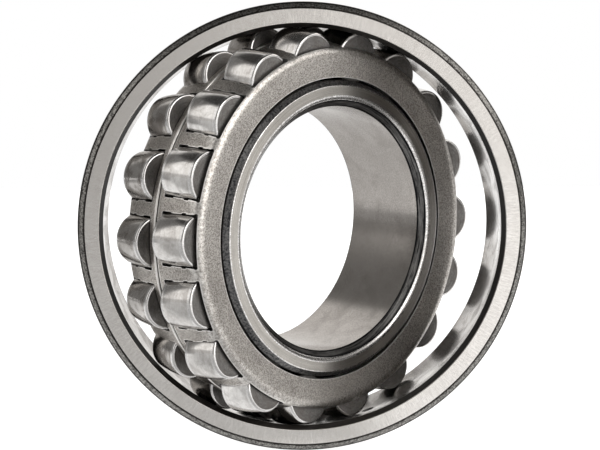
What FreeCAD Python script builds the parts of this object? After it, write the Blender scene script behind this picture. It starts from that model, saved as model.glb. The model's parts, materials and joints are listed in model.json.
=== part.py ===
import FreeCAD, Part
import math
import os

# Double-row spherical roller bearing, millimetres, +Z up.
# The origin is the bearing's centre. The outer ring's axis is Y and its front face looks along -Y.
# The inner ring, cages, rollers and guide ring are built on the same axis, then swivelled together
# about the bearing's centre, which the spherical outer raceway allows.

V = FreeCAD.Vector
tolerance = 1e-6

# ---- driving dimensions: the boundary sizes ----
bore_diameter = 55.0
outside_diameter = 100.0
ring_width = 25.0

# ---- outer ring ----
outer_ring_wall = 4.4            # outside surface to raceway, at the middle of the ring
outer_chamfer_axial = 1.4
outer_chamfer_radial = 1.55
outer_chamfer_bulge = 0.12       # the ground corner is slightly convex
lead_in_depth = 2.1              # bevel between the raceway and the side face
lead_in_rise = 0.85
oil_groove_width = 5.5
oil_groove_depth = 0.9
oil_hole_diameter = 2.5
oil_hole_count = 3
oil_hole_phase = 50.0            # degrees, first hole from +X towards +Z

# ---- rollers ----
roller_diameter = 11.8
roller_spacing = 1.75            # least room between neighbouring rollers at the pitch circle
side_room = 3.7                  # half the ring width, less the roller's length
roller_profile_relief = 1.0      # roller's long profile is this much tighter than the outer raceway
roller_corner_radius = 0.5
roller_recess_diameter = 3.1
roller_recess_depth = 0.45
roller_clearance = 0.05          # radial, roller to either raceway

# ---- inner ring ----
inner_profile_relief = 0.6       # inner raceway's long profile is this much opener than the outer
guide_land_width = 1.4           # cylinder between the two raceways, under the guide ring
raceway_overrun = 0.2            # raceway past each end of the roller
retaining_lip_height = 0.5
inner_corner_axial = 1.25        # outer corner of the inner ring's side faces
inner_corner_radial = 1.2
bore_chamfer_axial = 1.9
bore_chamfer_radial = 1.85

# ---- guide ring ----
guide_ring_fit = 0.08            # radial, on the inner ring
guide_ring_height = 4.1
guide_end_clearance = 0.12       # to the inner ends of the rollers

# ---- cages ----
cage_sheet = 1.4
cage_ride = 2.65                 # outer surface of the cage above the rollers' axes
cage_bend_radius = 2.2           # outside of the bend between the bars and the flange
cage_end_clearance = 0.3         # roller's outer end to the flange
cage_bore_clearance = 0.55       # flange to the inner ring
cage_separation = 0.5            # between the two cages
flange_edge_round = 0.25
pocket_side_clearance = 0.11     # roller to the straight part of a bar, at the sheet's inside
pocket_nib_clearance = 0.15      # roller to the coined nibs that hold it in
pocket_rim_clearance = 0.3       # roller's inner end to the centre rim
pocket_reach = 0.68              # roller's outer end to the window's end, cut into the bend
pocket_corner_radius = 0.35
outer_nib_length = 2.2           # coined stretch of a bar, ending level with the roller's outer end
nib_gap = 1.2                    # straight stretch between the two nibs of a bar
inner_nib_length = 3.0

# ---- rest pose: how far the inner assembly is swivelled, and where its rollers stand ----
swivel_angle = 40.0              # degrees, front face turned towards +X
swivel_axis_lean = 4.0           # degrees, the swivel axis from +Z towards +X
front_row_phase = 160.4          # degrees about the axis, first roller from +X towards +Z
rear_row_phase = 162.4

# ---- worked out ----
outer_radius = outside_diameter / 2
bore_radius = bore_diameter / 2
half_width = ring_width / 2
outer_raceway_radius = outer_radius - outer_ring_wall
roller_radius = roller_diameter / 2
roller_length = half_width - side_room
half_roller = roller_length / 2
roller_centre = outer_raceway_radius - roller_clearance - roller_radius
roller_profile_radius = outer_raceway_radius - roller_profile_relief
inner_profile_radius = outer_raceway_radius + inner_profile_relief
inner_contact = roller_centre - roller_radius - roller_clearance


def inner_raceway_at(along):
    """Height of the inner raceway above the bearing's centre, at a distance along the roller."""
    return inner_contact + inner_profile_radius - math.sqrt(inner_profile_radius ** 2 - along ** 2)


# The rows lean so that the raceways leave just the guide ring's land between them.
raceway_half = half_roller + raceway_overrun
raceway_end = inner_raceway_at(raceway_half)
contact_angle = (math.atan2(raceway_half, raceway_end)
                 + math.asin(guide_land_width / 2 / math.hypot(raceway_half, raceway_end)))
pitch_radius = roller_centre * math.cos(contact_angle)
roller_count = int(2 * math.pi * pitch_radius / (roller_diameter + roller_spacing))
roller_step = 360.0 / roller_count


def in_section(along, height):
    """Point of the axial section, from a row's own coordinates.

    along runs parallel to the roller's axis and height runs out along the line of contact, both
    from the bearing's centre. Returns (distance forward of the middle plane, radius).
    """
    forward = along * math.cos(contact_angle) + height * math.sin(contact_angle)
    radius = height * math.cos(contact_angle) - along * math.sin(contact_angle)
    return forward, radius


def section_point(forward, radius):
    """Vector of a point in the section plane X = radius, with forward along -Y."""
    return V(radius, -forward, 0)


def row_point(along, height):
    return section_point(*in_section(along, height))


def closed_face(edges):
    return Part.Face(Part.Wire(edges))


def line(start, end):
    return Part.makeLine(start, end)


def arc(start, middle, end):
    return Part.Arc(start, middle, end).toShape()


def polyline(points):
    return [line(a, b) for a, b in zip(points, points[1:])]


def revolve(face):
    """Solid of a section face turned once round the bearing's axis."""
    solid = face.revolve(V(0, 0, 0), V(0, 1, 0), 360)
    if solid.Volume < 0:
        solid.reverse()
    return solid


def mirrored(shape):
    """The same piece for the rear row, mirrored in the middle plane."""
    return shape.mirror(V(0, 0, 0), V(0, 1, 0))


def turned(shape, degrees):
    """A copy turned round the bearing's axis, positive from +X towards +Z."""
    copy = shape.copy()
    copy.rotate(V(0, 0, 0), V(0, -1, 0), degrees)
    return copy


def swivelled(shape):
    """A copy in the rest pose of the inner assembly."""
    lean = math.radians(swivel_axis_lean)
    copy = shape.copy()
    copy.rotate(V(0, 0, 0), V(math.sin(lean), 0, math.cos(lean)), swivel_angle)
    return copy


def sphere_arc(radius, start_forward, end_forward):
    """Arc of a sphere about the bearing's centre, in the section plane."""
    def at(forward):
        return section_point(forward, math.sqrt(radius ** 2 - forward ** 2))
    return arc(at(start_forward), at((start_forward + end_forward) / 2), at(end_forward))


# ---- outer ring: one spherical raceway, oil groove and holes outside ----
def outer_ring():
    raceway_edge = half_width - lead_in_depth
    edge_radius = math.sqrt(outer_raceway_radius ** 2 - raceway_edge ** 2)
    face_inner = edge_radius + lead_in_rise
    face_outer = outer_radius - outer_chamfer_radial
    seat_end = half_width - outer_chamfer_axial
    groove_radius = outer_radius - oil_groove_depth
    corner_middle_forward = (half_width + seat_end) / 2 + outer_chamfer_bulge
    corner_middle_radius = (outer_radius + face_outer) / 2 + outer_chamfer_bulge

    def corner(side):
        return arc(section_point(side * seat_end, outer_radius),
                   section_point(side * corner_middle_forward, corner_middle_radius),
                   section_point(side * half_width, face_outer))

    front = polyline([section_point(half_width, face_outer),
                      section_point(half_width, face_inner),
                      section_point(raceway_edge, edge_radius)])
    rear = polyline([section_point(-raceway_edge, edge_radius),
                     section_point(-half_width, face_inner),
                     section_point(-half_width, face_outer)])
    seat = polyline([section_point(-seat_end, outer_radius),
                     section_point(-oil_groove_width / 2, outer_radius),
                     section_point(-oil_groove_width / 2, groove_radius),
                     section_point(oil_groove_width / 2, groove_radius),
                     section_point(oil_groove_width / 2, outer_radius),
                     section_point(seat_end, outer_radius)])
    raceway = sphere_arc(outer_raceway_radius, raceway_edge, -raceway_edge)
    ring = revolve(closed_face(front + [raceway] + rear + [corner(-1)] + seat + [corner(1)]))
    for number in range(oil_hole_count):
        hole = Part.makeCylinder(oil_hole_diameter / 2, outer_radius, V(0, 0, 0), V(1, 0, 0))
        ring = ring.cut(turned(hole, oil_hole_phase + number * 360.0 / oil_hole_count))
    return ring


# ---- inner ring: two raceways, a centre land, side lips and a plain bore ----
def inner_ring():
    outer_end = in_section(raceway_half, raceway_end)
    inner_end = in_section(-raceway_half, raceway_end)
    lip_radius = outer_end[1] + retaining_lip_height
    lip_end = half_width - inner_corner_axial
    face_outer = lip_radius - inner_corner_radial
    face_inner = bore_radius + bore_chamfer_radial
    bore_end = half_width - bore_chamfer_axial

    def half(side):
        """Section edges of one row, from the centre land out to the bore."""
        def at(forward, radius):
            return section_point(side * forward, radius)
        bottom = at(*in_section(0, inner_contact))
        lip_start = (outer_end[0] + retaining_lip_height * math.tan(contact_angle), lip_radius)
        return ([arc(at(*inner_end), bottom, at(*outer_end))]
                + polyline([at(*outer_end), at(*lip_start), at(lip_end, lip_radius),
                            at(half_width, face_outer), at(half_width, face_inner),
                            at(bore_end, bore_radius)]))

    land = line(section_point(-inner_end[0], inner_end[1]), section_point(*inner_end))
    bore = line(section_point(bore_end, bore_radius), section_point(-bore_end, bore_radius))
    return revolve(closed_face(Part.__sortEdges__(half(1) + half(-1) + [land, bore])))


# ---- guide ring: loose on the inner ring, its sides parallel to the roller ends ----
def guide_ring():
    land_radius = in_section(-raceway_half, raceway_end)[1]
    inner = land_radius + guide_ring_fit
    outer = inner + guide_ring_height

    def side_at(radius):
        """Half the ring's width where its sides face the roller ends."""
        along = half_roller + guide_end_clearance
        return radius * math.tan(contact_angle) - along / math.cos(contact_angle)

    corners = [section_point(side_at(inner), inner), section_point(side_at(outer), outer),
               section_point(-side_at(outer), outer), section_point(-side_at(inner), inner)]
    return revolve(closed_face(polyline(corners + corners[:1])))


# ---- rollers: symmetric barrels with rounded corners and a dished centre in each end ----
def roller():
    """A barrel about the X axis, centred at the origin."""
    profile_centre = roller_radius - roller_profile_radius
    recess_radius = roller_recess_diameter / 2

    def barrel_radius(along):
        return profile_centre + math.sqrt(roller_profile_radius ** 2 - along ** 2)

    def end_corner(side):
        """Quarter round between the barrel and one end face."""
        start = half_roller - roller_corner_radius
        edge = barrel_radius(start)
        reach = roller_corner_radius * (1 - math.cos(math.radians(45)))
        return arc(V(side * start, edge, 0),
                   V(side * (half_roller - reach), edge - reach, 0),
                   V(side * half_roller, edge - roller_corner_radius, 0))

    def end_face(side):
        edge = barrel_radius(half_roller - roller_corner_radius) - roller_corner_radius
        floor = half_roller - roller_recess_depth
        return polyline([V(side * half_roller, edge, 0),
                         V(side * half_roller, recess_radius, 0),
                         V(side * floor, recess_radius - roller_recess_depth, 0),
                         V(side * floor, 0, 0)])

    start = half_roller - roller_corner_radius
    barrel = arc(V(-start, barrel_radius(start), 0), V(0, roller_radius, 0),
                 V(start, barrel_radius(start), 0))
    floor = half_roller - roller_recess_depth
    axis = line(V(floor, 0, 0), V(-floor, 0, 0))
    edges = [barrel, end_corner(1), end_corner(-1)] + end_face(1) + end_face(-1) + [axis]
    solid = closed_face(Part.__sortEdges__(edges)).revolve(V(0, 0, 0), V(1, 0, 0), 360)
    if solid.Volume < 0:
        solid.reverse()
    return solid


def on_row(shape):
    """Moves a piece made about the X axis to the first place of the front row, at +X."""
    placed = shape.copy()
    placed.rotate(V(0, 0, 0), V(0, 0, 1), -90)
    placed.rotate(V(0, 0, 0), V(0, 0, 1), -math.degrees(contact_angle))
    placed.translate(row_point(0, roller_centre))
    return placed


# ---- cages: pressed steel cups with a window for each roller ----
def pocket():
    """Cutting tool for one window, made about the X axis like a roller, height along +Y."""
    rim_end = -(half_roller + pocket_rim_clearance)
    flange_end = half_roller + cage_end_clearance
    window_end = half_roller + pocket_reach
    outer_nib = half_roller - outer_nib_length
    inner_nib = outer_nib - nib_gap - inner_nib_length
    floor = cage_ride - cage_sheet
    half_opening = math.sqrt(roller_radius ** 2 - floor ** 2) + pocket_side_clearance
    depth = floor - cage_sheet / 2
    height = cage_ride + cage_sheet

    barrel = Part.makeCylinder(roller_radius + pocket_nib_clearance, flange_end - rim_end,
                               V(rim_end, 0, 0), V(1, 0, 0))

    def window(start, end, rounded_end=None):
        box = Part.makeBox(end - start, height - depth, 2 * half_opening,
                           V(start, depth, -half_opening))
        corners = [edge for edge in box.Edges
                   if abs(edge.Vertexes[0].Y - edge.Vertexes[1].Y) > tolerance
                   and rounded_end is not None
                   and abs(edge.Vertexes[0].X - rounded_end) < tolerance]
        return box.makeFillet(pocket_corner_radius, corners) if corners else box

    tool = barrel.fuse(window(rim_end, inner_nib, rim_end))
    tool = tool.fuse(window(outer_nib - nib_gap, outer_nib))
    tool = tool.fuse(window(half_roller, window_end, window_end))
    return tool


def front_cage():
    outer = roller_centre + cage_ride
    inner = outer - cage_sheet
    rim = cage_separation / 2
    flange_inside = half_roller + cage_end_clearance
    flange_outside = flange_inside + cage_sheet
    inside_bend = cage_bend_radius - cage_sheet
    bend_along = flange_outside - cage_bend_radius
    bend_height = math.sqrt((outer - cage_bend_radius) ** 2 - bend_along ** 2)
    tangent = math.atan2(bend_along, bend_height)

    lip_radius = in_section(raceway_half, raceway_end)[1] + retaining_lip_height
    hole_radius = lip_radius + cage_bore_clearance

    def on_bend(radius, angle):
        return row_point(bend_along + radius * math.sin(angle),
                         bend_height + radius * math.cos(angle))

    def bend(radius):
        middle = (tangent + math.pi / 2) / 2
        return arc(on_bend(radius, tangent), on_bend(radius, middle), on_bend(radius, math.pi / 2))

    def shell(radius):
        """Spherical stretch of one face of the sheet, from the rim to the bend."""
        start = section_point(rim, math.sqrt(radius ** 2 - rim ** 2))
        end_angle = tangent + contact_angle
        start_angle = math.asin(rim / radius)
        middle = (start_angle + end_angle) / 2
        return arc(start, section_point(radius * math.sin(middle), radius * math.cos(middle)),
                   section_point(radius * math.sin(end_angle), radius * math.cos(end_angle)))

    def flange_height(along):
        """Height in the row's coordinates where the flange reaches its hole."""
        return (hole_radius + along * math.sin(contact_angle)) / math.cos(contact_angle)

    outside_edge = row_point(flange_outside, flange_height(flange_outside) + flange_edge_round)
    rounded = row_point(flange_outside - flange_edge_round, flange_height(flange_outside))
    inside_edge = row_point(flange_inside, flange_height(flange_inside))
    edges = [shell(outer), bend(cage_bend_radius),
             line(on_bend(cage_bend_radius, math.pi / 2), outside_edge),
             line(outside_edge, rounded), line(rounded, inside_edge),
             line(inside_edge, on_bend(inside_bend, math.pi / 2)), bend(inside_bend), shell(inner),
             line(section_point(rim, math.sqrt(inner ** 2 - rim ** 2)),
                  section_point(rim, math.sqrt(outer ** 2 - rim ** 2)))]
    cage = revolve(closed_face(Part.__sortEdges__(edges)))
    tool = on_row(pocket())
    return cage.cut([turned(tool, number * roller_step) for number in range(roller_count)])


def save(node, shape):
    solid = shape.removeSplitter()
    if solid.ShapeType != "Solid":
        solid = solid.Solids[0]
    solid.exportStep(f"parts/{node}.step")
    print(f"{node}: {solid.Volume:.1f} mm3, valid {solid.isValid()}")


os.makedirs("parts", exist_ok=True)

save("outer_ring", outer_ring())
save("inner_ring", swivelled(inner_ring()))
save("guide_ring", swivelled(guide_ring()))

cage = front_cage()
save("front_cage", swivelled(turned(cage, front_row_phase)))
save("rear_cage", swivelled(turned(mirrored(cage), rear_row_phase)))

barrel = on_row(roller())
for row, piece, phase in (("front", barrel, front_row_phase),
                          ("rear", mirrored(barrel), rear_row_phase)):
    for number in range(roller_count):
        place = turned(piece, phase + number * roller_step)
        save(f"{row}_roller_{number + 1:02d}", swivelled(place))
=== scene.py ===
import json
import math

import bpy
import numpy as np
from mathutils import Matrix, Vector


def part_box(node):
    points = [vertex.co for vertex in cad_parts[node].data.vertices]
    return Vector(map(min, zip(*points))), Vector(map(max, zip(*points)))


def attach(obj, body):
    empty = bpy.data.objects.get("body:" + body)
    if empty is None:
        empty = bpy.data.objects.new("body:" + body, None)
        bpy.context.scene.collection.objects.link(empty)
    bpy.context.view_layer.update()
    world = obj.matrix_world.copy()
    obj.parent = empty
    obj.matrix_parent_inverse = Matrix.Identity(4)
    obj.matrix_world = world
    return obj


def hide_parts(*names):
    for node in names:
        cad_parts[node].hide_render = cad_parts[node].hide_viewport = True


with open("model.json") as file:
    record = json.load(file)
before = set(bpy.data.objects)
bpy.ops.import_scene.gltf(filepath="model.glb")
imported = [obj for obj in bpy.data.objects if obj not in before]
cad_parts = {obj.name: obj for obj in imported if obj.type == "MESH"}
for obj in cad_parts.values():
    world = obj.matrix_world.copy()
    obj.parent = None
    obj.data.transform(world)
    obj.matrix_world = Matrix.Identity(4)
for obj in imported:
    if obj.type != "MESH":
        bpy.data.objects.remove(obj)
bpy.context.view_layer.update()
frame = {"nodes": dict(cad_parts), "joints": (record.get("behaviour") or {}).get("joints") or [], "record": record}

# ---- Outer ring ----
# One thick ring of through-hardened steel. Its outside and side faces are ground, the corners
# and the bevels beside the raceway are left darker, and the spherical raceway is polished.
mm = 0.001
joints = {joint["name"]: joint for joint in frame["joints"]}
mounts = {mount["name"]: mount for mount in frame["record"]["mounts"]}
seat_radius = mounts["housing_seat"]["dims"]["r_mm"] * mm
half_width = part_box("outer_ring")[1].y
ring_wall = 4.4 * mm
bevel_width = 2.1 * mm
raceway_radius = seat_radius - ring_wall
raceway_edge = half_width - bevel_width
raceway_trim = 0.3 * mm
shoulder_rise = 0.85 * mm
corner_drop = 1.55 * mm
corner_width = 1.4 * mm
corner_bulge = 0.12 * mm
groove_half = 2.75 * mm
groove_depth = 0.9 * mm
oil_hole_radius = 1.25 * mm
oil_hole_count = 3
oil_hole_phase = math.radians(50)
drill_sides = 48
drill_overshoot = 1.0 * mm
edge_round = 0.14 * mm


def unit(vector):
    return vector / np.linalg.norm(vector)


def directions(forward, up):
    """Rows side, up and forward, square to each other: side is up crossed with forward."""
    forward, up = unit(np.array(forward, float)), np.array(up, float)
    up = unit(up - forward * (up @ forward))
    return np.array([np.cross(up, forward), up, forward])


def eased(before, corner, after, radius=edge_round, steps=4, hold=0.06 * mm):
    """Points of an arc that touches both straight runs of a corner.

    The arc's centre lies on the line that halves the corner, radius / sin(half) away from it. One
    more point stands on each run just outside the arc, which keeps the runs flat when shaded.
    """
    before, corner, after = (np.array(point, float) for point in (before, corner, after))
    back, ahead = unit(before - corner), unit(after - corner)
    half = math.acos(back @ ahead) / 2
    outward = -unit(back + ahead)
    across = unit(ahead - outward * (ahead @ outward))
    angles = np.linspace(-1, 1, steps + 1)[:, None] * (math.pi / 2 - half)
    centre = corner - outward * radius / math.sin(half)
    arc = centre + radius * (np.cos(angles) * outward + np.sin(angles) * across)
    reach = radius / math.tan(half) + hold
    return np.vstack([corner + back * reach, arc, corner + ahead * reach])


def make_piece(name, points, faces, uvs, slots, materials, body):
    """A mesh piece from whole arrays: points, lists of face, corner UV and material arrays."""
    used, numbers = np.unique(np.concatenate([f.ravel() for f in faces]), return_inverse=True)
    ends = np.cumsum([f.size for f in faces])[:-1]
    faces = [part.reshape(f.shape) for part, f in zip(np.split(numbers.ravel(), ends), faces)]
    mesh = bpy.data.meshes.new(name)
    mesh.from_pydata(points[used].tolist(), [], [face for f in faces for face in f.tolist()])
    for material in materials:
        mesh.materials.append(material)
    mesh.polygons.foreach_set("material_index", np.concatenate(slots).astype(np.int32))
    layer = mesh.uv_layers.new(name="sweep")
    layer.data.foreach_set("uv", np.concatenate([uv.reshape(-1) for uv in uvs]).astype(np.float32))
    mesh.shade_smooth()
    mesh.set_sharp_from_angle(angle=math.radians(35))
    mesh.update()
    piece = bpy.data.objects.new(name, mesh)
    bpy.context.scene.collection.objects.link(piece)
    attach(piece, body)
    return piece


def lathe(name, runs, axes, body, centre=(0, 0, 0), sectors=360, closed=True):
    """A section swept once round an axis.

    runs is a list of (material, points of (forward, radius)), with the metal on the left of the
    path. The point at turn t is centre + forward times the axis + radius (cos t side + sin t up).
    U of the UV map is the turn and V runs from 0 to 1 along each run.
    """
    section = np.vstack([points for _, points in runs])
    count = len(section)
    turn = np.linspace(0, 2 * math.pi, sectors, endpoint=False)
    circle = np.cos(turn)[:, None] * axes[0] + np.sin(turn)[:, None] * axes[1]
    points = (np.array(centre) + section[:, 0, None, None] * axes[2]
              + section[:, 1, None, None] * circle).reshape(-1, 3)
    index = np.arange(count * sectors).reshape(count, sectors)
    if not closed:
        index[0], index[-1] = index[0, 0], index[-1, 0]
    following = np.roll(index, -1, axis=0)
    quads = np.stack([index, following, np.roll(following, -1, 1), np.roll(index, -1, 1)], -1)
    length = np.linalg.norm(np.roll(section, -1, axis=0) - section, axis=1)
    materials = list(dict.fromkeys(material for material, _ in runs))
    slots, start, end = [], [], []
    first = 0
    for number, (material, run) in enumerate(runs):
        steps = length[first:first + len(run)]
        if not closed and number == len(runs) - 1:
            steps = np.append(steps[:-1], 0)
        share = np.concatenate([[0], np.cumsum(steps)]) / steps.sum()
        start.append(share[:-1])
        end.append(share[1:])
        slots.append(np.full(len(run), materials.index(material)))
        first += len(run)
    start, end, slots = (np.concatenate(part) for part in (start, end, slots))
    around = np.arange(sectors) / sectors
    u = np.stack([around, around, around + 1 / sectors, around + 1 / sectors], -1)
    v = np.stack([start, end, end, start], -1)
    uv = np.stack(np.broadcast_arrays(u[None], v[:, None]), -1)
    slots = np.repeat(slots[:, None], sectors, 1)
    if closed:
        parts = [(quads, uv, slots)]
    else:
        parts = [(quads[1:-2], uv[1:-2], slots[1:-2]),
                 (quads[0][:, [0, 1, 2]], uv[0][:, [0, 1, 2]], slots[0]),
                 (quads[-2][:, [0, 1, 3]], uv[-2][:, [0, 1, 3]], slots[-2])]
    faces = [f.reshape(-1, f.shape[-1]) for f, _, _ in parts]
    return make_piece(name, points, faces, [part[1] for part in parts],
                      [part[2].ravel() for part in parts], materials, body)


def wire(tree, kind, inputs=None, **settings):
    """A node with its settings, whose inputs are sockets to join or plain values."""
    made = tree.nodes.new("ShaderNode" + kind)
    for key, value in settings.items():
        setattr(made, key, value)
    for key, value in (inputs or {}).items():
        if isinstance(value, bpy.types.NodeSocket):
            tree.links.new(value, made.inputs[key])
        else:
            made.inputs[key].default_value = value
    return made


def start_group(name, inputs, outputs):
    """A node group with named float, colour or vector sockets; returns it and its input node."""
    group = bpy.data.node_groups.new(name, "ShaderNodeTree")
    for label, value in inputs.items():
        kind = {1: "Float", 3: "Vector", 4: "Color"}[np.size(value)]
        socket = group.interface.new_socket(label, in_out="INPUT", socket_type="NodeSocket" + kind)
        socket.default_value = value
    for label, kind in outputs.items():
        group.interface.new_socket(label, in_out="OUTPUT", socket_type="NodeSocket" + kind)
    return group, group.nodes.new("NodeGroupInput").outputs


def end_group(group, outputs):
    result = group.nodes.new("NodeGroupOutput")
    for label, socket in outputs.items():
        group.links.new(socket, result.inputs[label])


def math_node(tree, operation, *values, clamp=False):
    made = wire(tree, "Math", dict(enumerate(values)), operation=operation, use_clamp=clamp)
    return made.outputs[0]


def mix(tree, factor, first, second):
    """Two floats mixed by a factor."""
    return wire(tree, "Mix", {"Factor": factor, 2: first, 3: second}).outputs[0]


def mix_colour(tree, factor, first, second):
    """Two colours mixed by a factor."""
    return wire(tree, "Mix", {"Factor": factor, 6: first, 7: second}, data_type="RGBA").outputs[2]


def ramp_between(tree, value, low, high, bottom=0.0, top=1.0):
    """Value stretched from low..high to bottom..top with smooth ends."""
    made = wire(tree, "MapRange", {"Value": value, "From Min": low, "From Max": high,
                                   "To Min": bottom, "To Max": top},
                interpolation_type="SMOOTHSTEP")
    return made.outputs["Result"]


# Fine isotropic grain of ground or blasted steel: noise at one size, with a broader cloud.
cloud_scale = 120.0
grain_group, given = start_group(
    "steel_grain", {"Vector": (0, 0, 0), "Size": 0.3 * mm, "Contrast": 1.0},
    {"Grain": "Float", "Cloud": "Float"})
scale = math_node(grain_group, "DIVIDE", 1.0, given["Size"])
fine = wire(grain_group, "TexNoise", {"Vector": given["Vector"], "Scale": scale, "Detail": 2.0,
                                      "Roughness": 0.65}).outputs["Fac"]
broad = wire(grain_group, "TexNoise", {"Vector": given["Vector"], "Scale": cloud_scale,
                                       "Detail": 3.0, "Roughness": 0.6}).outputs["Fac"]
centred = math_node(grain_group, "MULTIPLY_ADD", fine, given["Contrast"],
                    math_node(grain_group, "MULTIPLY_ADD", given["Contrast"], -0.5, 0.5))
end_group(grain_group, {"Grain": centred, "Cloud": broad})

# Marks left by a cutter or wheel going round: noise that is long round the turn and short across.
marks_group, given = start_group("circular_marks", {"Lines": 40.0, "Breaks": 2.0},
                                 {"Marks": "Float", "Along": "Float"})
sweep = wire(marks_group, "UVMap", uv_map="sweep").outputs["UV"]
parts = wire(marks_group, "SeparateXYZ", {"Vector": sweep}).outputs
turn_angle = math_node(marks_group, "MULTIPLY", parts["X"], 2 * math.pi)
place = wire(marks_group, "CombineXYZ", {
    "X": math_node(marks_group, "MULTIPLY", math_node(marks_group, "COSINE", turn_angle),
                   given["Breaks"]),
    "Y": math_node(marks_group, "MULTIPLY", math_node(marks_group, "SINE", turn_angle),
                   given["Breaks"]),
    "Z": math_node(marks_group, "MULTIPLY", parts["Y"], given["Lines"])}).outputs["Vector"]
marks = wire(marks_group, "TexNoise", {"Vector": place, "Scale": 1.0, "Detail": 3.0,
                                       "Roughness": 0.7}).outputs["Fac"]
end_group(marks_group, {"Marks": marks, "Along": parts["Y"]})

# Smudges of dried oil and handling, and heavy ones on the rear rollers that are painted shade: soft blotches, torn
# at their borders.
smudge_group, given = start_group("smudges", {"Vector": (0, 0, 0), "Size": 3.0 * mm},
                                  {"Mask": "Float"})
scale = math_node(smudge_group, "DIVIDE", 1.0, given["Size"])
blotch = wire(smudge_group, "TexNoise", {"Vector": given["Vector"], "Scale": scale, "Detail": 5.0,
                                         "Roughness": 0.6, "Distortion": 0.8}).outputs["Fac"]
end_group(smudge_group, {"Mask": ramp_between(smudge_group, blotch, 0.42, 0.66)})

# Colour of dried oil in the smudges; where the smudges are heavy, on the rear rollers, it is painted shade.
oil_and_shade_tone = (0.17, 0.15, 0.135, 1)
oil_dullness = 0.2
quarter_turn = 0.25


def steel(name, dark, light, roughness, grain_size=0.3 * mm, grain_contrast=1.0, cloud_share=0.3,
          lines=0.0, breaks=2.0, line_share=0.3, rough_spread=0.06, bump=0.3, bump_depth=0.004,
          metallic=1.0, stain=0.0, stain_size=3.0 * mm, dark_rims=0.0, turned=0.0):
    """Bare steel whose colour, roughness and height follow its grain, clouds and cutter marks.

    stain darkens it in smudges, dark_rims darkens both ends of the run in the UV map's V, and
    turned stretches its highlights across the marks left by turning.
    """
    material = bpy.data.materials.new(name)
    material.use_nodes = True
    tree = material.node_tree
    shader = tree.nodes["Principled BSDF"]
    shader.inputs["Metallic"].default_value = metallic
    where = wire(tree, "TexCoord").outputs["Object"]
    grain = wire(tree, "Group", node_tree=grain_group)
    tree.links.new(where, grain.inputs["Vector"])
    grain.inputs["Size"].default_value = grain_size
    grain.inputs["Contrast"].default_value = grain_contrast
    pattern = mix(tree, cloud_share, grain.outputs["Grain"], grain.outputs["Cloud"])
    if lines:
        cuts = wire(tree, "Group", node_tree=marks_group)
        cuts.inputs["Lines"].default_value = lines
        cuts.inputs["Breaks"].default_value = breaks
        pattern = mix(tree, line_share, pattern, cuts.outputs["Marks"])
        if dark_rims:
            from_middle = math_node(tree, "ABSOLUTE", math_node(
                tree, "MULTIPLY_ADD", cuts.outputs["Along"], 2.0, -1.0))
            pattern = math_node(tree, "SUBTRACT", pattern,
                                ramp_between(tree, from_middle, 0.35, 1.0, 0.0, dark_rims))
    # Noise keeps near 0.5, so a narrow range round it is stretched to the full span.
    factor = ramp_between(tree, pattern, 0.3, 0.7)
    colour = mix_colour(tree, factor, (*dark, 1), (*light, 1))
    rough = ramp_between(tree, pattern, 0.25, 0.75, roughness + rough_spread,
                         roughness - rough_spread)
    if stain:
        smudge = wire(tree, "Group", node_tree=smudge_group)
        tree.links.new(where, smudge.inputs["Vector"])
        smudge.inputs["Size"].default_value = stain_size
        share = math_node(tree, "MULTIPLY", smudge.outputs["Mask"], stain)
        colour = mix_colour(tree, share, colour, oil_and_shade_tone)
        rough = math_node(tree, "MULTIPLY_ADD", share, oil_dullness, rough)
    tree.links.new(colour, shader.inputs["Base Color"])
    tree.links.new(rough, shader.inputs["Roughness"])
    relief = wire(tree, "Bump", {"Strength": bump, "Distance": bump_depth * mm, "Height": pattern})
    tree.links.new(relief.outputs["Normal"], shader.inputs["Normal"])
    if turned:
        shader.inputs["Anisotropic"].default_value = turned
        shader.inputs["Anisotropic Rotation"].default_value = quarter_turn
        around = wire(tree, "Tangent", direction_type="UV_MAP", uv_map="sweep")
        tree.links.new(around.outputs["Tangent"], shader.inputs["Tangent"])
    return material


ground_face = steel("ground_face", (0.57, 0.545, 0.52), (0.76, 0.74, 0.715), 0.24,
                    grain_size=0.22 * mm, lines=2, breaks=150, line_share=0.5)
ground_corner = steel("ground_corner", (0.03, 0.028, 0.026), (0.40, 0.39, 0.37), 0.4,
                      grain_size=0.35 * mm, grain_contrast=1.8, lines=5, breaks=60,
                      line_share=0.4, dark_rims=0.42)
dark_bevel = steel("dark_bevel", (0.010, 0.009, 0.008), (0.035, 0.031, 0.028), 0.35, lines=20,
                   line_share=0.6, metallic=0.0)
dark_bevel.node_tree.nodes["Principled BSDF"].inputs["Specular IOR Level"].default_value = 0.1
polished_raceway = steel("polished_raceway", (0.42, 0.405, 0.39), (0.64, 0.63, 0.62), 0.14,
                         grain_size=0.8 * mm, cloud_share=0.75, lines=60, line_share=0.25,
                         rough_spread=0.03, bump=0.15, stain=0.55, stain_size=6 * mm)
ground_seat = steel("ground_seat", (0.50, 0.49, 0.475), (0.66, 0.65, 0.635), 0.3, lines=240,
                    line_share=0.6)
groove_steel = steel("groove_steel", (0.20, 0.195, 0.19), (0.34, 0.33, 0.32), 0.45, lines=60,
                     line_share=0.6)

shoulder_radius = math.sqrt(raceway_radius ** 2 - raceway_edge ** 2)
face_inner = shoulder_radius + shoulder_rise
face_outer = seat_radius - corner_drop
seat_end = half_width - corner_width


def whole_section(runs, end):
    """The runs of a front half, from the middle plane round to it, and the rear half after them.

    end is the point that closes the front half. Each rear run is a front run mirrored and walked
    back from the first point of the run that follows it, so it covers the same edges.
    """
    ends = [points[0] for _, points in runs[1:]] + [np.array(end, float)]
    rear = [(material, np.vstack([last, points[:0:-1]]) * (-1, 1))
            for (material, points), last in reversed(list(zip(runs, ends)))]
    return runs + rear


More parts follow.
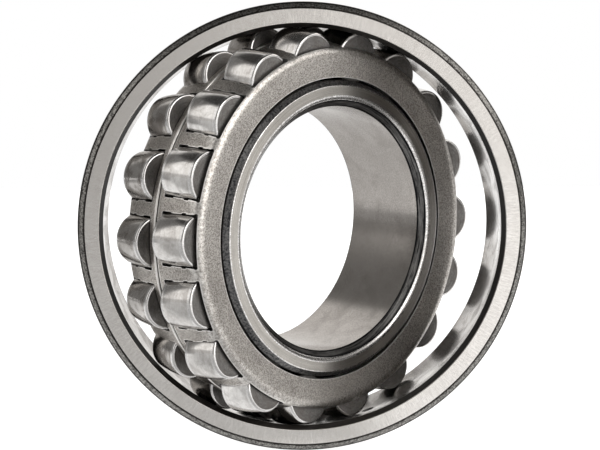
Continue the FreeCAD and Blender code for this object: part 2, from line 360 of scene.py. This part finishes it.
raceway_angle = math.asin((raceway_edge - raceway_trim) / raceway_radius)
sweep_angle = np.linspace(0, raceway_angle, 31)
raceway = raceway_radius * np.stack([np.sin(sweep_angle), np.cos(sweep_angle)], -1)
groove_floor = seat_radius - groove_depth
race, inner = (raceway_edge, shoulder_radius), (half_width, face_inner)
outer, seat = (half_width, face_outer), (seat_end, seat_radius)
groove_top, groove_foot = (groove_half, seat_radius), (groove_half, groove_floor)
# The corner is a straight line pushed out square to itself by 4 x (1 - x) times its bulge.
share = np.linspace(0.1, 0.9, 9)[:, None]
square = unit(np.array([seat_radius - face_outer, half_width - seat_end]))
corner = (np.array(outer) * (1 - share) + np.array(seat) * share
          + 4 * share * (1 - share) * corner_bulge * square)
corner_middle = corner[len(corner) // 2]
outer_runs = [(polished_raceway, raceway),
              (dark_bevel, eased(raceway[-2], race, inner)),
              (ground_face, eased(race, inner, outer)),
              (ground_corner, np.vstack([eased(inner, outer, corner_middle), corner])),
              (ground_seat, np.vstack([eased(corner_middle, seat, groove_top),
                                       eased(seat, groove_top, groove_foot)])),
              (groove_steel, eased(groove_top, groove_foot, (0, groove_floor)))]
outer_axes = directions(mounts["housing_seat"]["axis"], (0, 0, 1))
outer_ring = lathe("outer_ring_steel", whole_section(outer_runs, (0, groove_floor)), outer_axes,
                   "outer_ring")

drills = bpy.data.meshes.new("oil_holes")
round_turn = np.linspace(0, 2 * math.pi, drill_sides, endpoint=False)
drill_points, drill_faces = [], []
for number in range(oil_hole_count):
    angle = oil_hole_phase + number * 2 * math.pi / oil_hole_count
    out = math.cos(angle) * outer_axes[0] + math.sin(angle) * outer_axes[1]
    side = np.cross(out, outer_axes[2])
    rim = oil_hole_radius * (np.cos(round_turn)[:, None] * side
                             + np.sin(round_turn)[:, None] * outer_axes[2])
    drill_points += [rim + out * (raceway_radius - drill_overshoot),
                     rim + out * (seat_radius + drill_overshoot)]
    low = 2 * drill_sides * number + np.arange(drill_sides)
    high = low + drill_sides
    drill_faces += np.stack([low, high, np.roll(high, -1), np.roll(low, -1)], -1).tolist()
    drill_faces += [low.tolist(), high[::-1].tolist()]
drills.from_pydata(np.vstack(drill_points).tolist(), [], drill_faces)
drills.materials.append(groove_steel)
drill = bpy.data.objects.new("oil_holes", drills)
bpy.context.scene.collection.objects.link(drill)
cut = outer_ring.modifiers.new("oil_holes", "BOOLEAN")
cut.object = drill
cut.solver = "EXACT"
cut.material_mode = "TRANSFER"
drilled = bpy.data.meshes.new_from_object(
    outer_ring.evaluated_get(bpy.context.evaluated_depsgraph_get()))
outer_ring.modifiers.clear()
outer_ring.data = drilled
bpy.data.objects.remove(drill)
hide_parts("outer_ring")

# ---- Inner ring ----
# The ring that grips the shaft: two polished raceways with a plain land between them, a lip at
# each side, a ground bore, and turned side faces between rounded edges, lightened as a painted highlight, and dark
# corners.
bore_radius = mounts["shaft_bore"]["dims"]["r_mm"] * mm
spin_axis = np.array(joints["inner_ring_spin"]["axis"])
inner_axes = directions(spin_axis, joints["inner_swivel"]["axis"])
first_roller = joints["front_roller_01_spin"]
roller_axis = unit(np.array(first_roller["axis"]))
row_lean = math.acos(roller_axis @ unit(spin_axis))
roller_height = float(np.linalg.norm(first_roller["pos_m"]))
raceway_end = 4.6 * mm
inner_contact = 33.70 * mm
profile_spare = 0.6 * mm
inner_profile_radius = raceway_radius + profile_spare
lip_height = 0.5 * mm
inner_corner = (1.25 * mm, 1.2 * mm)
bore_chamfer = (1.9 * mm, 1.85 * mm)
bore_edge_round = 1.3 * mm
face_edge_round = 0.25 * mm
lip_corner_round = 0.2 * mm
lip_edge_round = 0.1 * mm
undercut_round = 0.08 * mm


def in_section(along, height):
    """Forward and radius of a point given along a roller and square to it, from the centre."""
    return np.stack([along * math.cos(row_lean) + height * math.sin(row_lean),
                     height * math.cos(row_lean) - along * math.sin(row_lean)], -1)


turned_face = steel("turned_face", (0.30, 0.283, 0.26), (0.57, 0.545, 0.51), 0.33,
                    grain_size=0.2 * mm, lines=12, line_share=0.55, turned=0.7)
oxide_corner = steel("oxide_corner", (0.03, 0.031, 0.036), (0.26, 0.257, 0.253), 0.36,
                     grain_size=0.5 * mm, grain_contrast=1.5, lines=8, line_share=0.3)
bore_bevel = steel("bore_bevel", (0.010, 0.010, 0.011), (0.22, 0.216, 0.21), 0.36, lines=6,
                   line_share=0.8, breaks=5, dark_rims=0.3)
# Rounded edges of the side faces, lighter than the face: painted highlight on the roundings.
highlight_edge_steel = steel("highlight_edge_steel", (0.45, 0.435, 0.42), (0.84, 0.83, 0.82), 0.25,
                       grain_size=0.4 * mm, grain_contrast=1.5)
satin_bore = steel("satin_bore", (0.34, 0.318, 0.297), (0.52, 0.492, 0.465), 0.17, lines=200,
                   grain_size=0.25 * mm, line_share=0.2, stain=0.25, stain_size=9 * mm)
land_steel = steel("land_steel", (0.30, 0.29, 0.28), (0.45, 0.44, 0.43), 0.35, lines=30,
                   line_share=0.6)

along = np.linspace(-raceway_end, raceway_end, 41)[1:-1]
race = in_section(along, inner_contact + inner_profile_radius
                  - np.sqrt(inner_profile_radius ** 2 - along ** 2))
race_depth = inner_contact + inner_profile_radius - math.sqrt(inner_profile_radius ** 2
                                                              - raceway_end ** 2)
land_end = in_section(-raceway_end, race_depth)
race_end = in_section(raceway_end, race_depth)
lip_radius = race_end[1] + lip_height
lip_start = race_end[0] + lip_height * math.tan(row_lean)

bore = (half_width - bore_chamfer[0], bore_radius)
inner = (half_width, bore_radius + bore_chamfer[1])
outer = (half_width, lip_radius - inner_corner[1])
top = (half_width - inner_corner[0], lip_radius)
lip = (lip_start, lip_radius)
undercut = tuple(race_end)
bore_edge = eased(bore, inner, outer, bore_edge_round, steps=8)
face_edge = eased(inner, outer, top, face_edge_round)
inner_runs = [(satin_bore, np.array([(0, bore_radius), (half_width / 2, bore_radius)])),
              (bore_bevel, eased((0, bore_radius), bore, inner)),
              (highlight_edge_steel, bore_edge[:-1]),
              (turned_face, bore_edge[-1:]),
              (highlight_edge_steel, face_edge[:-1]),
              (oxide_corner, face_edge[-1:]),
              (dark_bevel, eased(outer, top, lip, lip_corner_round)),
              (polished_raceway, np.vstack([eased(top, lip, undercut, lip_edge_round),
                                            eased(lip, undercut, race[-1], undercut_round),
                                            race[::-1]])),
              (land_steel, np.array([land_end]))]
inner_ring = lathe("inner_ring_steel", whole_section(inner_runs, (0, land_end[1])), inner_axes,
                   "inner_ring")
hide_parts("inner_ring")

# ---- Guide ring ----
# A loose plain ring between the two rows, riding on the inner ring's land. Its slanted sides
# face the inner ends of the rollers; it is turned steel in dark grey, partly its finish and partly painted shade
# for the gaps between the rows.
guide_fit = 0.08 * mm
guide_height = 4.1 * mm
guide_clearance = 0.12 * mm
guide_round = 0.12 * mm

roller_mesh = frame["nodes"]["front_roller_01"].data
roller_points = np.empty(len(roller_mesh.vertices) * 3, np.float32)
roller_mesh.vertices.foreach_get("co", roller_points)
roller_points = roller_points.reshape(-1, 3) - np.array(first_roller["pos_m"])
roller_half = float(np.abs(roller_points @ roller_axis).max())
roller_radius = float(np.linalg.norm(np.cross(roller_points, roller_axis), axis=1).max())

guide_inner = land_end[1] + guide_fit
guide_outer = guide_inner + guide_height


def guide_half(radius):
    """Half width of the guide ring at a radius, parallel to the rollers' inner ends."""
    return radius * math.tan(row_lean) - (roller_half + guide_clearance) / math.cos(row_lean)


# Dark grey: partly the ring's finish, partly painted shade that keeps the gaps between the rows dark.
guide_steel = steel("guide_steel", (0.12, 0.117, 0.113), (0.26, 0.255, 0.25), 0.42, lines=30,
                    line_share=0.6)
corners = [(guide_half(guide_inner), guide_inner), (guide_half(guide_outer), guide_outer),
           (-guide_half(guide_outer), guide_outer), (-guide_half(guide_inner), guide_inner)]
guide_runs = [(guide_steel, eased(corners[i - 1], corners[i], corners[(i + 1) % 4], guide_round))
              for i in range(4)]
guide_ring = lathe("guide_ring_steel", guide_runs, inner_axes, "guide_ring")
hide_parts("guide_ring")

# ---- Rollers ----
# Symmetric barrels, superfinished on the outside to a mirror, with matt ground ends, a rounded
# corner and a dished centre in each end. Each turns on its own axis in its window of a cage.
roller_corner = 0.5 * mm
recess_radius = 1.55 * mm
recess_depth = 0.45 * mm
recess_round = 0.15 * mm
recess_rim_round = 0.08 * mm
profile_relief = 1.0 * mm
roller_profile = raceway_radius - profile_relief
corner_draft = 0.01 * mm
roller_sectors = 88

mirror_steel = steel("mirror_steel", (0.48, 0.46, 0.44), (0.74, 0.73, 0.715), 0.13,
                     grain_size=0.9 * mm, cloud_share=0.7, lines=30, line_share=0.25,
                     rough_spread=0.05, bump=0.1, stain=0.3, stain_size=3.5 * mm)
# The rear row's barrels: darker than mirror_steel and heavily smudged, as painted shade where the front row and
# the outer ring keep light off them.
oily_steel = steel("oily_steel", (0.38, 0.36, 0.335), (0.62, 0.60, 0.58), 0.15,
                   grain_size=0.9 * mm, cloud_share=0.7, lines=30, line_share=0.25,
                   rough_spread=0.05, bump=0.1, stain=0.85, stain_size=5 * mm)
bright_corner = steel("bright_corner", (0.55, 0.54, 0.53), (0.72, 0.71, 0.70), 0.2)
matt_end = steel("matt_end", (0.13, 0.124, 0.118), (0.29, 0.28, 0.27), 0.46, lines=8,
                 line_share=0.4, stain=0.4, stain_size=2.5 * mm)
dark_recess = steel("dark_recess", (0.012, 0.011, 0.010), (0.05, 0.047, 0.044), 0.6,
                    metallic=0.0)


def barrel_radius(along):
    """Radius of the barrel: a long arc through its middle at the roller's full radius."""
    return roller_radius - roller_profile + np.sqrt(roller_profile ** 2 - along ** 2)


edge = float(barrel_radius(roller_half - roller_corner))
barrel_end = roller_half - 2 * roller_corner
dish = (roller_half - recess_depth, 0)
hollow, rim = (dish[0], recess_radius - recess_depth), (roller_half, recess_radius)
corner, barrel_start = (roller_half, edge), (barrel_end, edge + corner_draft)
along = np.linspace(1, 0, 17) * barrel_end
roller_runs = [(dark_recess, np.vstack([[dish], eased(dish, hollow, rim, recess_round)])),
               (matt_end, eased(hollow, rim, corner, recess_rim_round)),
               (bright_corner, eased(rim, corner, barrel_start, roller_corner, steps=8)),
               (mirror_steel, np.stack([along, barrel_radius(along)], -1)[:-1])]
roller_runs = whole_section(roller_runs, (0, roller_radius))
roller_runs[-1] = (dark_recess, np.vstack([roller_runs[-1][1], [(-dish[0], 0)]]))
for name, joint in joints.items():
    if "_roller_" in name:
        body = name.removesuffix("_spin")
        # The rear row gets the darker, heavily smudged steel: painted shade.
        barrel_steel = oily_steel if body.startswith("rear") else mirror_steel
        runs = [(barrel_steel if material is mirror_steel else material, points)
                for material, points in roller_runs]
        roller = lathe(body + "_steel", runs, directions(joint["axis"], joint["pos_m"]),
                       body, joint["pos_m"], sectors=roller_sectors, closed=False)
        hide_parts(body)

# ---- Cages ----
# Two cups of pressed steel sheet, one for each row, blasted and oiled. Each has a window for
# every roller, coined nibs along the bars that hold it, a rounded bend and a conical flange.
sheet = 1.4 * mm
cage_rise = 2.65 * mm
cage_outer = roller_height + cage_rise
cage_inner = cage_outer - sheet
rim_forward = 0.25 * mm
rim_round = 0.3 * mm
bend_radius = 2.2 * mm
end_play = 0.3 * mm
flange_inside = roller_half + end_play
flange_outside = flange_inside + sheet
bend_along = flange_outside - bend_radius
bend_height = math.sqrt((cage_outer - bend_radius) ** 2 - bend_along ** 2)
bend_start = math.atan2(bend_along, bend_height)
hole_clearance = 0.55 * mm
hole_radius = lip_radius + hole_clearance
window_start = -(roller_half + end_play)
window_spare = 0.68 * mm
window_end = roller_half + window_spare
window_corner = 0.35 * mm
notch_floor = 40.2 * mm
side_play = 0.11 * mm
straight_half = math.sqrt(roller_radius ** 2 - (cage_inner - roller_height) ** 2) + side_play
nib_play = 0.15 * mm
nib_circle = roller_radius + nib_play
nibs = ((-2.0 * mm, 1.0 * mm), (2.2 * mm, 4.4 * mm))
nib_slope = 0.09 * mm
window_edge_round = 0.12 * mm
# Painted highlight on the cage: its strength round the bend, where it peaks on the section, how fast it fades, and
# the scale of the noise that breaks it up.
bend_sheen, sheen_middle, sheen_slope = 0.7, 1.4, 1.6
sheen_break_scale = 1500.0
flat_columns, bar_columns, station_rows = 8, 6, 15

# Walls of the windows, rim and flange hole: bare sheared steel, lightened further as a painted highlight along the
# edges.
sheared_edge_and_sheen = steel("sheared_edge_and_sheen", (0.46, 0.45, 0.44), (0.76, 0.75, 0.74), 0.35)
blasted_sheet = steel("blasted_sheet", (0.27, 0.25, 0.23), (0.62, 0.59, 0.555), 0.4,
                      grain_size=0.27 * mm, grain_contrast=1.9, cloud_share=0.1, bump=0.6,
                      bump_depth=0.03, stain=0.22, stain_size=7 * mm)
# Painted highlight: the sheet is lightened and made smoother, unevenly, along its edges and round its bend.
tree = blasted_sheet.node_tree
shader = tree.nodes["Principled BSDF"]
sheen_at_edge = wire(tree, "Attribute", attribute_name="painted_sheen").outputs["Fac"]
uneven = wire(tree, "TexNoise", {"Vector": wire(tree, "TexCoord").outputs["Object"],
                                 "Scale": sheen_break_scale, "Detail": 2.0}).outputs["Fac"]
sheen = ramp_between(tree, math_node(tree, "MULTIPLY_ADD", uneven, 0.8, sheen_at_edge), 0.85, 1.4)
for label, blend, sheen_value in (("Base Color", mix_colour, (0.86, 0.84, 0.81, 1)),
                                 ("Roughness", mix, 0.3)):
    plain = shader.inputs[label].links[0].from_socket
    tree.links.new(blend(tree, sheen, plain, sheen_value), shader.inputs[label])


def sheet_profile(stretch, skin):
    """Forward and radius along the sheet's section, on its outer (0) or inner (1) skin.

    stretch -1..0 is the rim's quarter round, 0..1 the sphere round the bearing's centre, 1..2 the
    bend, 2..3 the flange.
    """
    ball = (cage_outer, cage_inner)[skin]
    curl = (bend_radius, bend_radius - sheet)[skin]
    first = math.asin((rim_forward + rim_round) / ball)
    turn = np.clip(-stretch, 0, 1) * math.pi / 2
    middle = ball * math.cos(first) - (rim_round, -rim_round)[skin]
    on_rim = np.stack([rim_forward + rim_round * (1 - np.sin(turn)),
                       middle + (rim_round, -rim_round)[skin] * np.cos(turn)], -1)
    angle = first + np.clip(stretch, 0, 1) * (bend_start + row_lean - first)
    on_ball = np.stack([ball * np.sin(angle), ball * np.cos(angle)], -1)
    angle = bend_start + np.clip(stretch - 1, 0, 1) * (math.pi / 2 - bend_start)
    on_bend = in_section(bend_along + curl * np.sin(angle), bend_height + curl * np.cos(angle))
    wall = (flange_outside, flange_inside)[skin]
    low = (hole_radius + wall * math.sin(row_lean)) / math.cos(row_lean)
    height = bend_height + np.clip(stretch - 2, 0, 1) * (low - bend_height)
    on_flange = in_section(np.full_like(height, wall), height)
    stretch = stretch[..., None]
    on_sheet = np.where(stretch <= 1, on_ball, np.where(stretch <= 2, on_bend, on_flange))
    return np.where(stretch < 0, on_rim, on_sheet)


def stretch_at(along, skin):
    """Place on the skin's sphere or bend of a point that far along the roller."""
    ball = (cage_outer, cage_inner)[skin]
    first = math.asin((rim_forward + rim_round) / ball)
    last = bend_start + row_lean
    on_ball = (row_lean + np.arcsin(along / ball) - first) / (last - first)
    curl = (bend_radius, bend_radius - sheet)[skin]
    past = np.arcsin(np.clip((along - bend_along) / curl, 0, 1))
    on_bend = 1 + (past - bend_start) / (math.pi / 2 - bend_start)
    return np.where(on_ball <= 1, on_ball, on_bend)


def past_edge(along, place):
    """0 before a nib's edge and 1 past it, with a short slope between."""
    return 1 / (1 + np.exp(-(along - place) / nib_slope * 4))


def half_opening(along, skin):
    """Half a window's width: straight, or where a nib follows the roller's circle, narrower."""
    ball = (cage_outer, cage_inner)[skin]
    height = (ball ** 2 - along ** 2 - nib_circle ** 2 + roller_height ** 2) / (2 * roller_height)
    circle = np.sqrt(ball ** 2 - along ** 2 - height ** 2)
    nib = sum(past_edge(along, near) - past_edge(along, far) for near, far in nibs)
    return np.where(circle > straight_half, circle, straight_half + nib * (circle - straight_half))


def cage(name, side, row):
    """One cage as a sheet of quads: rows along its section, columns round the axis.

    The sheet is a surface of revolution. A window's edges stand half its opening to each side of
    its roller, and the bars between take evenly spaced columns. Outer and inner skins share the
    grid, and walls join them at the rim, the flange's hole and round every window.
    """
    def swept(section, turns):
        """Forward and radius pairs turned round the axis, on this cage's side."""
        return (section[..., :1] * side * inner_axes[2]
                + section[..., 1:] * (np.cos(turns)[..., None] * inner_axes[0]
                                      + np.sin(turns)[..., None] * inner_axes[1]))

    centres = np.array([joint["pos_m"] for key, joint in joints.items()
                        if key.startswith(row + "_roller_")])
    places = np.sort(np.arctan2(centres @ inner_axes[1], centres @ inner_axes[0]))
    count = len(places)
    quarter = np.linspace(0, math.pi / 2, 5)
    flat = straight_half - window_corner
    across = np.concatenate([-flat - window_corner * np.cos(quarter),
                             np.linspace(-flat, flat, flat_columns + 2)[1:-1],
                             flat + window_corner * np.sin(quarter)]) / straight_half
    inset = window_corner * (1 - np.concatenate([np.sin(quarter), np.ones(flat_columns),
                                                 np.cos(quarter)]))
    window_columns = len(across)
    bar = np.linspace(0, 1, bar_columns + 2)[1:-1]
    pitch = window_columns + bar_columns
    slopes = [place + nib_slope * step for nib in nibs for place in nib for step in (-1, 0, 1)]
    stations = np.linspace(window_start + window_corner, window_end - window_corner, station_rows)
    stations = np.unique(np.concatenate([stations, slopes]))
    round_rows, rim_rows = np.linspace(-1, 0, 6)[:-1, None], np.linspace(0, 1, 4)[:-1, None]
    first = len(round_rows) + len(rim_rows)
    last = first + len(stations) - 1
    notch = math.acos((notch_floor - bend_height) / (bend_radius - sheet))
    notch_stretch = 1 + (notch - bend_start) / (math.pi / 2 - bend_start)
    points, sweeps = [], []
    for skin in (0, 1):
        at_stations = stretch_at(stations, skin)
        at_start = stretch_at(window_start + inset, skin)
        at_end = stretch_at(window_end - inset, skin)
        if skin == 1:
            tangent = cage_inner * math.sin(bend_start)
            past = np.clip((stations - tangent) / (stations[-1] - tangent), 0, 1)
            at_stations = np.where(stations < tangent, at_stations, 1 + past * (notch_stretch - 1))
            at_end = np.full_like(at_end, notch_stretch)
        inside = np.tile(at_stations[:, None], (1, pitch))
        inside[0, :window_columns] = at_start
        inside[-1, :window_columns] = at_end
        past_end = inside[-1].max() + (2 - inside[-1].max()) * np.linspace(0, 1, 7)[1:, None]
        flange = 2 + np.linspace(0, 1, 9)[1:, None]
        outside = np.vstack([past_end, flange]) * np.ones(pitch)
        stretch = np.vstack([round_rows * np.ones(pitch), rim_rows * inside[0], inside, outside])
        edge = np.arcsin(half_opening(stations, skin)
                         / sheet_profile(at_stations, skin)[:, 1])
        edge = np.concatenate([np.full(first, edge[0]), edge,
                               np.full(len(outside), edge[-1])])[:, None]
        turns = np.hstack([edge * across, edge + (2 * math.pi / count - 2 * edge) * bar])
        turns = (places[None, :, None] + turns[:, None]).reshape(len(turns), -1)
        turns = np.hstack([turns, turns[:, :1] + 2 * math.pi])
        stretch = np.hstack([np.tile(stretch, (1, count)), stretch[:, :1]])
        points.append(swept(sheet_profile(stretch, skin), turns))
        sweeps.append(np.stack([turns / (2 * math.pi), stretch / 3], -1))
    height, width = stretch.shape
    ledge = in_section(window_end - inset, np.full_like(inset, notch_floor))
    ledge_turn = places[:, None] + (edge[last] * across)[None]
    outer = np.arange(height * width).reshape(height, width)
    inner = outer + height * width
    lip = 2 * height * width + np.arange(count * window_columns).reshape(count, window_columns)
    merged = np.arange(2 * height * width + lip.size)
    merged[outer[:, -1]], merged[inner[:, -1]] = outer[:, 0], inner[:, 0]
    sweep = np.vstack([sweeps[0].reshape(-1, 2), sweeps[1].reshape(-1, 2),
                       np.stack([ledge_turn / (2 * math.pi), np.full_like(ledge_turn, 0.5)],
                                -1).reshape(-1, 2)])
    points = np.vstack([points[0].reshape(-1, 3), points[1].reshape(-1, 3),
                        swept(ledge[None], ledge_turn).reshape(-1, 3)])

    def band(low, high):
        """Quads between two rows of point numbers."""
        return np.stack([low[..., :-1], low[..., 1:], high[..., 1:], high[..., :-1]],
                        -1).reshape(-1, 4)

    solid_columns = np.arange(width - 1) % pitch >= window_columns - 1
    row_number = np.arange(height - 1)[:, None]
    keep = (row_number < first) | (row_number >= last) | solid_columns
    skins = [band(skin[:-1], skin[1:]).reshape(height - 1, width - 1, 4)[keep]
             for skin in (outer, inner)]
    skins[1] = skins[1][:, ::-1]
    walls = [band(outer[0], inner[0])[:, ::-1], band(outer[-1], inner[-1])]
    corners = []
    for number in range(count):
        window = slice(number * pitch, number * pitch + window_columns)
        left, right = window.start, window.stop - 1
        walls += [band(outer[first, window], inner[first, window]),
                  band(lip[number], outer[last, window]),
                  band(inner[last, window], lip[number]),
                  band(inner[first:last + 1, left], outer[first:last + 1, left]),
                  band(outer[first:last + 1, right], inner[first:last + 1, right])]
        corners += [(lip[number, 0], outer[last, left], inner[last, left]),
                    (outer[last, right], lip[number, -1], inner[last, right])]
    faces = [np.vstack(skins), np.vstack(walls), np.array(corners)]
    if side < 0:
        faces = [part[:, ::-1] for part in faces]
    slots = [np.zeros(len(faces[0])), np.ones(len(faces[1])), np.ones(len(faces[2]))]
    # Share of painted highlight: 1 on the rims of the windows and of the sheet, a lower share round the bend, 0
    # away from them
    sheen_share = bend_sheen * np.clip(sheen_slope - sheen_slope * np.abs(stretch - sheen_middle), 0, 1)
    sheen_share[:len(round_rows) + 1] = sheen_share[-1] = 1
    for number in range(count):
        window = slice(number * pitch, number * pitch + window_columns)
        sheen_share[first, window] = sheen_share[last, window] = 1
        sheen_share[first:last + 1, [window.start, window.stop - 1]] = 1
    sheen_share[:, -1] = sheen_share[:, 0]
    sheen_share = np.concatenate([sheen_share.ravel(), sheen_share.ravel(), np.ones(lip.size)])
    piece = make_piece(name, points, [merged[part] for part in faces],
                       [sweep[part] for part in faces], slots, [blasted_sheet, sheared_edge_and_sheen],
                       row + "_cage")
    kept = np.unique(merged[np.concatenate([part.ravel() for part in faces])])
    # Each point's share of the painted highlight, read by the sheet's material.
    painted_sheen = piece.data.attributes.new("painted_sheen", "FLOAT", "POINT")
    painted_sheen.data.foreach_set("value", sheen_share[kept].astype(np.float32))
    soften = piece.modifiers.new("soften", "BEVEL")
    soften.width = window_edge_round
    soften.segments = 2
    soften.limit_method = "ANGLE"
    soften.angle_limit = math.radians(40)
    soften.harden_normals = True
    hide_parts(row + "_cage")


cage("front_cage_steel", 1, "front")
cage("rear_cage_steel", -1, "rear")

# ---- Stage ----
# A white floor and backdrop, and a tent of soft lights and dark screens round the bearing that
# only reflections and the floor see. The camera stands a little left of the outer ring's axis.
tent_radius = 1.5
tent_ground = 0.5
tent_sectors, tent_rings = 64, 33
tent_tint = (1, 0.98, 0.955, 1)
backdrop_unseen, backdrop_seen = 0.5, 1.0
floor_reach = 0.9 * tent_radius
floor_grey, patch_grey = (0.5, 0.5, 0.5, 1), (0.05, 0.05, 0.05, 1)
floor_glow = 0.84
# Azimuth from the camera's side towards +X and elevation, both from and to in degrees, then the
# width of the soft edge and the level of light. A later panel covers an earlier one.
tent_panels = [
    (0, 62, -90, 50, 5, 1.05),
    (22, 56, -60, 20, 6, 2.6),
    (22, 60, 20, 44, 6, 4.0),
    (62, 135, -90, 20, 5, 0.36),
    (66, 132, 20, 52, 5, 1.6),
    (-60, -1, -90, 50, 5, 0.35),
    (-95, -60, -90, 8, 3, 0.7),
    (-132, -93, -30, 60, 3, 0.23),
    (-93, -58, 7, 47, 1.5, 1.3),
    (146, 190, -90, 50, 5, 1.05),
    (-190, -137, -90, 50, 5, 1.05),
    (-200, 200, 52, 91, 3, 0.06),
]
# Darker patches of the floor. The camera sees them white, only reflections and scattered light
# don't. Sideways and away from the camera, both from and to in metres, edge, share of white.
floor_patches = [
    (-2, -0.25, -2, 0.35, 0.03, 0.27),
    (-2, -0.12, 0.05, 0.2, 0.01, 0.38),
    (-2, 0.02, -2, -0.022, 0.01, 0.5),
    (-0.3, 0.02, 0.03, 0.4, 0.02, 0.72),
]


def patchwork(tree, ground, patches, first, second):
    """A level that is ground, save in each patch: first and second inside its limits."""
    level = ground
    for left, right, low, high, edge, strength in patches:
        mask = 1.0
        for value, start, end in ((first, left, right), (second, low, high)):
            rise = ramp_between(tree, value, start - edge, start + edge)
            fall = ramp_between(tree, value, end - edge, end + edge, 1.0, 0.0)
            mask = math_node(tree, "MULTIPLY", mask, math_node(tree, "MULTIPLY", rise, fall))
        level = mix(tree, mask, level, strength)
    return level


def seen_or_mirrored(tree, path):
    """1 for rays from the camera, from a reflection or through glass, and 0 for the rest."""
    seen = math_node(tree, "ADD", path["Is Camera Ray"], path["Is Glossy Ray"])
    return math_node(tree, "ADD", seen, path["Is Transmission Ray"], clamp=True)


tent_material = bpy.data.materials.new("tent_panels")
tent_material.use_nodes = True
tree = tent_material.node_tree
tree.nodes.remove(tree.nodes["Principled BSDF"])
direction = wire(tree, "VectorMath", {0: wire(tree, "TexCoord").outputs["Object"]},
                 operation="NORMALIZE").outputs["Vector"]
toward = wire(tree, "SeparateXYZ", {"Vector": direction}).outputs
azimuth = math_node(tree, "DEGREES", math_node(tree, "ARCTAN2", toward["X"], math_node(
    tree, "MULTIPLY", toward["Y"], -1.0)))
elevation = math_node(tree, "DEGREES", math_node(tree, "ARCSINE", toward["Z"]))
level = patchwork(tree, tent_ground, tent_panels, azimuth, elevation)
glow = wire(tree, "Emission", {"Color": tent_tint, "Strength": level})
tree.links.new(glow.outputs[0], tree.nodes["Material Output"].inputs["Surface"])
tent_material.cycles.emission_sampling = "NONE"

turn, rise = np.meshgrid(np.linspace(0, 2 * math.pi, tent_sectors, endpoint=False),
                         np.linspace(-math.pi / 2, math.pi / 2, tent_rings), indexing="ij")
ball = tent_radius * np.stack([np.cos(turn) * np.cos(rise), np.sin(turn) * np.cos(rise),
                               np.sin(rise)], -1)
number = np.arange(ball[..., 0].size).reshape(ball.shape[:2])
around = np.roll(number, -1, axis=0)
quads = np.stack([number[:, :-1], number[:, 1:], around[:, 1:], around[:, :-1]], -1)
tent_mesh = bpy.data.meshes.new("tent")
tent_mesh.from_pydata(ball.reshape(-1, 3).tolist(), [], quads.reshape(-1, 4).tolist())
tent_mesh.materials.append(tent_material)
tent = bpy.data.objects.new("tent", tent_mesh)
bpy.context.scene.collection.objects.link(tent)
tent.visible_camera = False
tent.visible_shadow = False

floor_mesh = bpy.data.meshes.new("floor")
floor_mesh.from_pydata([(x * floor_reach, y * floor_reach, -seat_radius)
                        for x, y in ((-1, -1), (1, -1), (1, 1), (-1, 1))], [], [(0, 1, 2, 3)])
floor = bpy.data.objects.new("floor", floor_mesh)
bpy.context.scene.collection.objects.link(floor)
floor_material = bpy.data.materials.new("white_floor")
floor_material.use_nodes = True
tree = floor_material.node_tree
board = tree.nodes["Principled BSDF"]
board.inputs["Roughness"].default_value = 0.5
board.inputs["Emission Color"].default_value = (1, 1, 1, 1)
path = wire(tree, "LightPath").outputs
seen = seen_or_mirrored(tree, path)
spot = wire(tree, "SeparateXYZ", {"Vector": wire(tree, "TexCoord").outputs["Object"]}).outputs
white = math_node(tree, "MAXIMUM", path["Is Camera Ray"], patchwork(
    tree, 1.0, floor_patches, spot["X"], spot["Y"]))
tree.links.new(mix_colour(tree, white, patch_grey, floor_grey), board.inputs["Base Color"])
tree.links.new(math_node(tree, "MULTIPLY", math_node(tree, "MULTIPLY", seen, floor_glow), white),
               board.inputs["Emission Strength"])
floor_mesh.materials.append(floor_material)

world = bpy.data.worlds.new("studio")
bpy.context.scene.world = world
world.use_nodes = True
tree = world.node_tree
seen = seen_or_mirrored(tree, wire(tree, "LightPath").outputs)
backdrop = tree.nodes["Background"]
backdrop.inputs["Color"].default_value = (1, 1, 1, 1)
tree.links.new(ramp_between(tree, seen, 0.0, 1.0, backdrop_unseen, backdrop_seen),
               backdrop.inputs["Strength"])

camera_data = bpy.data.cameras.new("camera")
camera_data.sensor_width = 36.0
camera_data.lens = 105.19
camera = bpy.data.objects.new("camera", camera_data)
camera.location = (-0.02206, -0.39948, 0.02550)
camera.rotation_euler = (math.radians(86.334), 0, math.radians(-3.136))
bpy.context.scene.collection.objects.link(camera)
bpy.context.scene.camera = camera
bpy.context.scene.view_settings.view_transform = "Standard"
